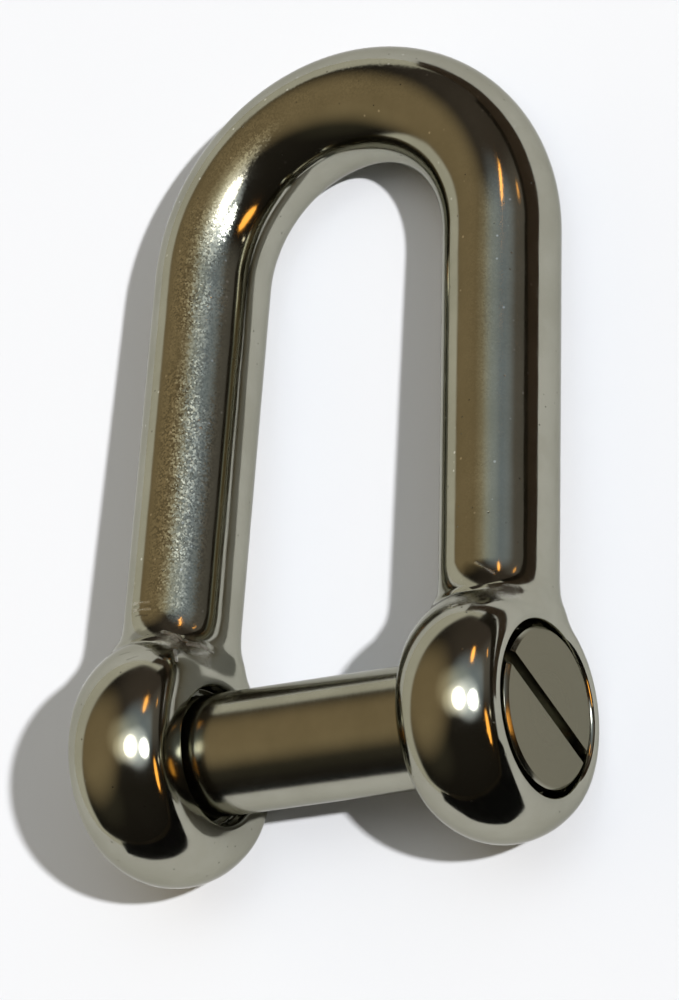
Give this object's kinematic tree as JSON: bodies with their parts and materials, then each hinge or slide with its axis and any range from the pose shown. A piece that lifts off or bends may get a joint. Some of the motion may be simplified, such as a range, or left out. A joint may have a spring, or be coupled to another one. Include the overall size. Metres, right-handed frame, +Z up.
{
  "type": "chain joining shackle",
  "caption": "Long D shackle for joining chain: round-bar bow with ball-shaped ears and a flush slotted screw pin that draws out through the head's ear.",
  "frame": {"origin": "on the pin axis, midway between the inner faces of the ears", "axes": "+X along the pin towards its head, +Y along the legs towards the crown, +Z up; the shackle lies on its side, resting on both ears and the crown"},
  "size_m": [0.0408, 0.0695, 0.0206],
  "materials": {
    "bow_steel": "mirror-polished stainless steel over a finely pitted forging, with rough grinding marks in the necks",
    "pin_steel": "turned and polished stainless steel with fine rings round the axis"
  },
  "bodies": {
    "bow": {"bow": "bow_steel"},
    "pin": {"pin": "pin_steel"}
  },
  "joints": [
    {"name": "pin_slide", "type": "slide", "parent": "bow", "child": "pin", "axis": [1, 0, 0], "range_m": [0, 0.041]}
  ]
}
